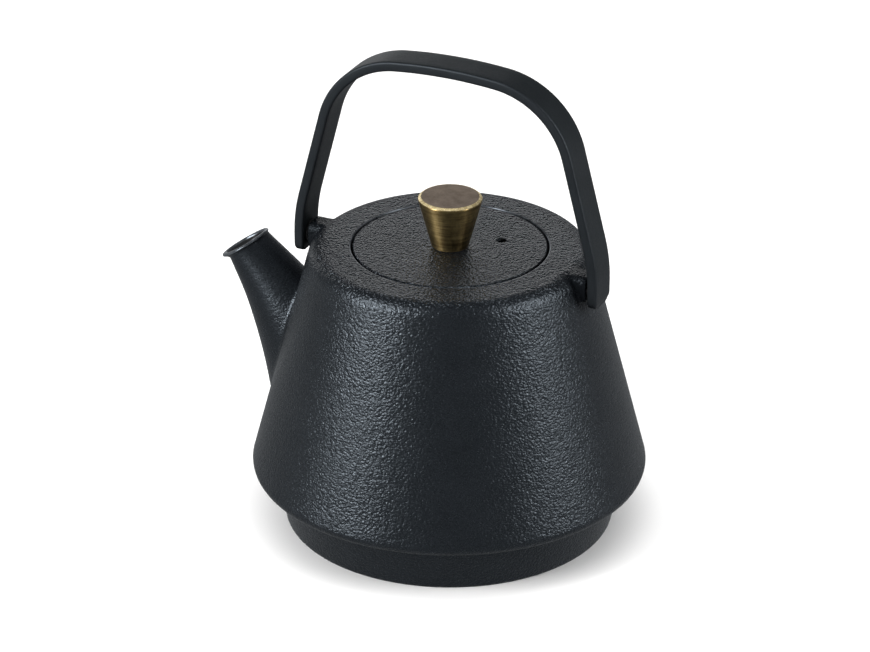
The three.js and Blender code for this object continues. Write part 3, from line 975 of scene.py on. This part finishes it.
class Paint:
    """A material with a Principled shader, and short ways to add nodes to it."""

    def __init__(self, name, **sockets):
        self.material = bpy.data.materials.new(name)
        self.material.use_nodes = True
        self.nodes = self.material.node_tree.nodes
        self.links = self.material.node_tree.links
        self.shader = self.nodes["Principled BSDF"]
        for socket, value in sockets.items():
            self.shader.inputs[socket.replace("_", " ")].default_value = value

    def node(self, kind, values=None, **settings):
        node = self.nodes.new(kind)
        for key, value in settings.items():
            setattr(node, key, value)
        for socket, value in (values or {}).items():
            if hasattr(value, "is_output"):
                self.links.new(value, node.inputs[socket])
            else:
                node.inputs[socket].default_value = value
        return node

    def place(self, scale=(1, 1, 1)):
        """Object coordinates, stretched by a scale."""
        coordinates = self.node("ShaderNodeTexCoord").outputs["Object"]
        values = {"Vector": coordinates, "Scale": scale}
        return self.node("ShaderNodeMapping", values).outputs["Vector"]

    def noise(self, vector, scale, detail=2.0, roughness=0.5, distortion=0.0):
        values = {"Vector": vector, "Scale": scale, "Detail": detail, "Roughness": roughness,
                  "Distortion": distortion}
        return self.node("ShaderNodeTexNoise", values).outputs[0]

    def ramp(self, factor, dark, light, low=0.3, high=0.7):
        node = self.node("ShaderNodeValToRGB", {"Fac": factor})
        for element, at, colour in zip(node.color_ramp.elements, (low, high), (dark, light)):
            element.position = at
            element.color = (*colour, 1)
        return node.outputs["Color"]

    def span(self, factor, low, high, from_low=0.0, from_high=1.0):
        values = {"Value": factor, "From Min": from_low, "From Max": from_high,
                  "To Min": low, "To Max": high}
        return self.node("ShaderNodeMapRange", values).outputs["Result"]

    def math(self, operation, a, b=0.0):
        return self.node("ShaderNodeMath", {0: a, 1: b}, operation=operation).outputs[0]

    def connect(self, output, socket):
        self.links.new(output, self.shader.inputs[socket])

    def relief(self, height, distance, strength=1.0):
        values = {"Height": height, "Distance": distance, "Strength": strength}
        self.connect(self.node("ShaderNodeBump", values).outputs["Normal"], "Normal")

    def colour(self, factor, dark, light, low=0.3, high=0.7):
        self.connect(self.ramp(factor, dark, light, low, high), "Base Color")

    def roughness(self, factor, low, high, from_low=0.0, from_high=1.0):
        self.connect(self.span(factor, low, high, from_low, from_high), "Roughness")


def cast_iron():
    """Black enamel over the pebbled grain of a sand casting: faint on the spout, glossier on the
    flat top, with its reflections dimmed round the lugs as painted shade."""
    paint = Paint("cast_iron_black", Specular_Tint=COOL_SHEEN)
    grain = paint.place((1.0, 1.0, 1.25))
    pebbles = paint.node("ShaderNodeTexVoronoi",
                         {"Vector": grain, "Scale": 850.0, "Smoothness": 0.7, "Randomness": 1.0},
                         feature="SMOOTH_F1").outputs["Distance"]
    wrinkle = paint.noise(grain, 1150.0, 1.5, 0.5, 0.3)
    swell = paint.noise(grain, 330.0, 2.0, 0.5)
    height = paint.math("ADD", paint.math("MULTIPLY", pebbles, -0.5), wrinkle)
    height = paint.math("ADD", height, paint.math("MULTIPLY", swell, 0.6))
    place = paint.node("ShaderNodeSeparateXYZ", {"Vector": paint.place()}).outputs
    off_spout = paint.span(place["X"], 0.22, 1.0, *SPOUT_GRAIN_FADE)
    flat_top = paint.span(place["Z"], 0.33, 1.0, *FLAT_TOP_START)
    paint.relief(height, 0.0011, paint.math("MULTIPLY", off_spout, flat_top))
    # Painted shade: reflections are turned down near the lugs, where the strap's feet shade the
    # shoulder.
    sides = paint.node("ShaderNodeVectorMath", {0: paint.place()}, operation="ABSOLUTE").outputs[0]
    to_lug = paint.node("ShaderNodeVectorMath", {0: sides, 1: LUG_SHADE_MIDDLE}, operation="DISTANCE")
    sheen_with_lug_shade = paint.span(to_lug.outputs["Value"], 0.10, 0.5, *LUG_SHADE_REACH)
    paint.connect(sheen_with_lug_shade, "Specular IOR Level")
    patches = paint.noise(grain, 60.0, 4.0, 0.6)
    paint.colour(patches, (0.0036, 0.0044, 0.0054), (0.0054, 0.0064, 0.0078))
    polish = paint.span(place["Z"], 1.0, 0.6, *FLAT_TOP_START)
    rough = paint.math("MULTIPLY", paint.span(wrinkle, 0.24, 0.37, 0.3, 0.7), polish)
    paint.connect(rough, "Roughness")
    return paint.material


def painted_highlight_enamel():
    """Thin, smooth enamel where an edge was ground before coating, on the lid's seat and the lip;
    its lighter colour is a painted highlight.
    """
    paint = Paint("painted_highlight_enamel", Specular_IOR_Level=0.8, Specular_Tint=COOL_SHEEN)
    swell = paint.noise(paint.place(), 300.0, 3.0)
    paint.relief(swell, 0.00006, 0.8)
    paint.colour(swell, (0.016, 0.018, 0.020), (0.050, 0.054, 0.060))
    paint.roughness(swell, 0.14, 0.28)
    return paint.material


def inner_enamel():
    """Smooth black enamel inside the pot and the spout, and under the lid."""
    paint = Paint("inner_enamel", Specular_IOR_Level=0.4)
    place = paint.place()
    swell = paint.noise(place, 220.0, 2.0)
    paint.relief(swell, 0.0002, 0.6)
    paint.colour(paint.noise(place, 40.0, 3.0), (0.006, 0.0065, 0.007), (0.010, 0.0105, 0.011))
    paint.roughness(swell, 0.22, 0.36)
    return paint.material


def strap_coating():
    """Smooth satin black coating on the handle."""
    paint = Paint("strap_satin_black", Specular_IOR_Level=0.34, Specular_Tint=COOL_SHEEN)
    place = paint.place()
    fine = paint.noise(place, 1500.0, 3.0, 0.6)
    waves = paint.noise(place, 90.0, 2.0)
    height = paint.math("ADD", paint.math("MULTIPLY", fine, 0.25), waves)
    paint.relief(height, 0.00015, 0.8)
    paint.colour(waves, (0.0046, 0.0056, 0.0064), (0.0064, 0.0076, 0.0086))
    paint.roughness(fine, 0.40, 0.52, 0.3, 0.7)
    return paint.material


def antique_brass():
    """Darkened brass, turned on a lathe and brushed round its axis."""
    paint = Paint("antique_brass", Metallic=1.0, Anisotropic=0.8, Anisotropic_Rotation=0.25)
    tangent = paint.node("ShaderNodeTangent", direction_type="RADIAL", axis="Z").outputs["Tangent"]
    paint.connect(tangent, "Tangent")
    lines = paint.noise(paint.place((1.0, 1.0, 30.0)), 60.0, 4.0, 0.65)
    tarnish = paint.noise(paint.place(), 220.0, 4.0, 0.6)
    paint.relief(lines, 0.00003, 0.6)
    lines_part = paint.math("MULTIPLY", lines, 0.6)
    mixed = paint.math("ADD", lines_part, paint.math("MULTIPLY", tarnish, 0.4))
    paint.colour(mixed, (0.20, 0.135, 0.055), (0.50, 0.37, 0.165), 0.38, 0.62)
    paint.roughness(lines, 0.30, 0.42, 0.3, 0.7)
    return paint.material


def worn_brass():
    """The knob's top, gone dull and brown."""
    paint = Paint("antique_brass_dull", Metallic=0.7, Specular_IOR_Level=0.3)
    tarnish = paint.noise(paint.place(), 260.0, 4.0, 0.6)
    fine = paint.noise(paint.place(), 1400.0, 2.0, 0.6)
    paint.relief(fine, 0.00003, 0.8)
    paint.colour(tarnish, (0.150, 0.114, 0.085), (0.240, 0.190, 0.148))
    paint.roughness(fine, 0.45, 0.6, 0.3, 0.7)
    return paint.material


def highlight_brass():
    """The knob's bevel: a paler, part-metal brass that stays bright under the fill, as a painted
    highlight.
    """
    paint = Paint("highlight_brass", Metallic=0.6, Specular_IOR_Level=0.5)
    rubbed = paint.noise(paint.place(), 500.0, 3.0, 0.6)
    paint.relief(rubbed, 0.00004, 0.8)
    paint.colour(rubbed, (0.58, 0.46, 0.23), (0.78, 0.65, 0.37))
    paint.roughness(rubbed, 0.20, 0.34, 0.3, 0.7)
    return paint.material


def satin_steel():
    """Stainless steel with a fine satin grain."""
    paint = Paint("satin_steel", Metallic=1.0)
    grain = paint.noise(paint.place((1.0, 1.0, 25.0)), 120.0, 4.0, 0.6)
    paint.relief(grain, 0.00003, 0.5)
    paint.colour(grain, (0.50, 0.50, 0.49), (0.64, 0.64, 0.63), 0.35, 0.65)
    paint.roughness(grain, 0.20, 0.34, 0.3, 0.7)
    return paint.material


def strainer_steel():
    """Fine stainless mesh: dark round openings on a close pitch."""
    paint = Paint("strainer_mesh_steel", Metallic=1.0)
    cells = paint.node("ShaderNodeTexVoronoi",
                       {"Vector": paint.place(), "Scale": 900.0, "Randomness": 0.0},
                       feature="F1").outputs["Distance"]
    opening = paint.span(cells, 1.0, 0.0, 0.30, 0.36)
    paint.colour(opening, (0.55, 0.55, 0.54), (0.015, 0.015, 0.015), 0.0, 1.0)
    paint.roughness(opening, 0.26, 0.7)
    return paint.material


def black_nylon():
    """Moulded black nylon with a fine matte texture."""
    paint = Paint("black_nylon", Specular_IOR_Level=0.4)
    fine = paint.noise(paint.place(), 1200.0, 2.0)
    paint.relief(fine, 0.00005, 0.6)
    paint.colour(fine, (0.010, 0.010, 0.010), (0.017, 0.017, 0.017))
    paint.roughness(fine, 0.42, 0.6)
    return paint.material


def pale_floor():
    """A near-white studio floor."""
    paint = Paint("pale_floor", Roughness=0.6, Specular_IOR_Level=0.2)
    paint.colour(paint.noise(paint.place(), 3.0, 2.0), (0.86, 0.855, 0.85), (0.88, 0.875, 0.87))
    return paint.material


# Stage, light and camera

VIEW_AZIMUTH = math.radians(25)           # the camera stands this far round from -Y towards +X
CAMERA_DOWN = math.radians(26.45)
CAMERA_BACK = 1.29392
CAMERA_SIDE = -0.00576
CAMERA_HEIGHT = 0.72395
CAMERA_ROLL = math.radians(0.11)
LENS = 153.1


def seen_from_camera(right, away, up):
    """A point given to the camera's right, away from it and up, as a place in the frame."""
    x = right * math.cos(VIEW_AZIMUTH) - away * math.sin(VIEW_AZIMUTH)
    y = right * math.sin(VIEW_AZIMUTH) + away * math.cos(VIEW_AZIMUTH)
    return Vector((x, y, up))


def camera():
    data = bpy.data.cameras.new("camera")
    data.sensor_width = 36
    data.lens = LENS
    data.clip_start, data.clip_end = 0.05, 50
    eye = bpy.data.objects.new("camera", data)
    bpy.context.scene.collection.objects.link(eye)
    turn = Matrix.Rotation(VIEW_AZIMUTH, 4, "Z")
    pitch = Matrix.Rotation(math.pi / 2 - CAMERA_DOWN, 4, "X")
    roll = Matrix.Rotation(CAMERA_ROLL, 4, "Z")
    place = seen_from_camera(CAMERA_SIDE, -CAMERA_BACK, CAMERA_HEIGHT)
    eye.matrix_world = Matrix.Translation(place) @ turn @ pitch @ roll
    bpy.context.scene.camera = eye


def softbox(name, place, target, width, height, radiance, reflected=True):
    """A rectangular lamp of even brightness; one that isn't reflected only fills the shadows."""
    data = bpy.data.lights.new(name, "AREA")
    data.shape = "RECTANGLE"
    data.size, data.size_y = width, height
    data.energy = radiance * math.pi * width * height
    lamp = bpy.data.objects.new(name, data)
    bpy.context.scene.collection.objects.link(lamp)
    away = Vector(target) - Vector(place)
    lamp.location = place
    lamp.rotation_euler = away.to_track_quat("-Z", "Y").to_euler()
    lamp.visible_glossy = reflected


def round_about(azimuth, distance, height):
    """A place at an azimuth from the camera's side of the pot, positive to the camera's right."""
    turn = math.radians(azimuth)
    return seen_from_camera(distance * math.sin(turn), -distance * math.cos(turn), height)


def lamps():
    """Two tall boxes that streak the cone, a low wide one behind for the top, and a soft fill."""
    aim = Vector((0, 0, 0.07))
    left, right = round_about(-60, 1.1, 0.56), round_about(67, 1.1, 0.54)
    behind, above = round_about(-168, 1.4, 0.36), seen_from_camera(0, 0.1, 1.7)
    softbox("left_box", left, aim, width=0.34, height=0.84, radiance=19)
    softbox("right_box", right, aim, width=0.32, height=0.84, radiance=13)
    softbox("back_box", behind, aim, width=1.5, height=0.40, radiance=1.12)
    softbox("fill", above, aim, width=2.4, height=2.4, radiance=2.6, reflected=False)


def surroundings():
    """A dim even world, a little lighter below the horizon."""
    world = bpy.data.worlds.new("studio")
    world.use_nodes = True
    nodes, links = world.node_tree.nodes, world.node_tree.links
    direction = nodes.new("ShaderNodeTexCoord").outputs["Generated"]
    upward = nodes.new("ShaderNodeSeparateXYZ")
    glow = nodes.new("ShaderNodeValToRGB")
    links.new(direction, upward.inputs["Vector"])
    links.new(upward.outputs["Z"], glow.inputs["Fac"])
    low, high = glow.color_ramp.elements
    low.color = (0.28, 0.29, 0.30, 1)
    high.color = (0.11, 0.115, 0.12, 1)
    high.position = 0.12
    links.new(glow.outputs["Color"], nodes["Background"].inputs["Color"])
    bpy.context.scene.world = world
    bpy.context.scene.view_settings.view_transform = "Standard"


def floor():
    mesh = bpy.data.meshes.new("floor")
    half = 6.0
    corners = [(-half, -half, 0), (half, -half, 0), (half, half, 0), (-half, half, 0)]
    mesh.from_pydata(corners, [], [(0, 1, 2, 3)])
    mesh.materials.append(pale_floor())
    sheet = bpy.data.objects.new("floor", mesh)
    bpy.context.scene.collection.objects.link(sheet)
    sheet.visible_glossy = False


camera()
lamps()
surroundings()
floor()
iron = cast_iron()
enamel = inner_enamel()
steel = satin_steel()
casting(iron, enamel, painted_highlight_enamel())
lid(iron, enamel)
knob(antique_brass(), highlight_brass(), worn_brass())
knob_screw(steel)
knob_washer(steel)
handle(strap_coating())
handle_pivots(steel, black_nylon())
infuser_flange(steel)
infuser_mesh(strainer_steel())
infuser_bottom_ring(steel)

bpy.context.view_layer.update()
